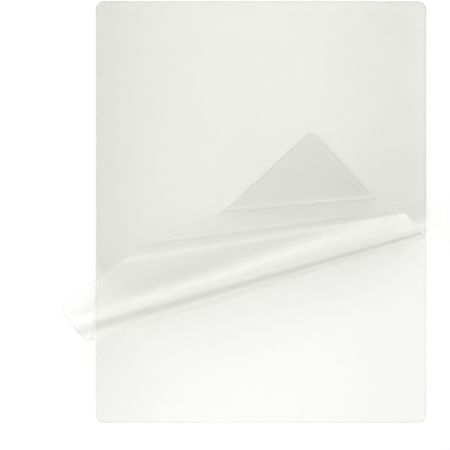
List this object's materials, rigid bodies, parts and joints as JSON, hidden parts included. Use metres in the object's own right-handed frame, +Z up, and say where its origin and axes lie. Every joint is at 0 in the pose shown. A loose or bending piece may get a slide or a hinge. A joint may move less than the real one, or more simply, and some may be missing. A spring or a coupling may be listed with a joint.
{
  "type": "laminating pouch",
  "caption": "Clear letter-size laminating pouch: a flat back film with a front film welded along one short edge and peeled back into a loop with a flat corner flap.",
  "frame": {"origin": "centre of the back film's underside, which rests on the floor", "axes": "+Z up, +Y along the pouch towards the welded short edge, +X across it to the right"},
  "size_m": [0.2495, 0.2922, 0.0608],
  "materials": {
    "back_film": "clear polyester film with a faintly milky adhesive side",
    "front_film": "clear polyester film, glossy outside, faintly milky adhesive side"
  },
  "bodies": {
    "root": {"back_film": "back_film", "front_film": "front_film"}
  },
  "joints": []
}
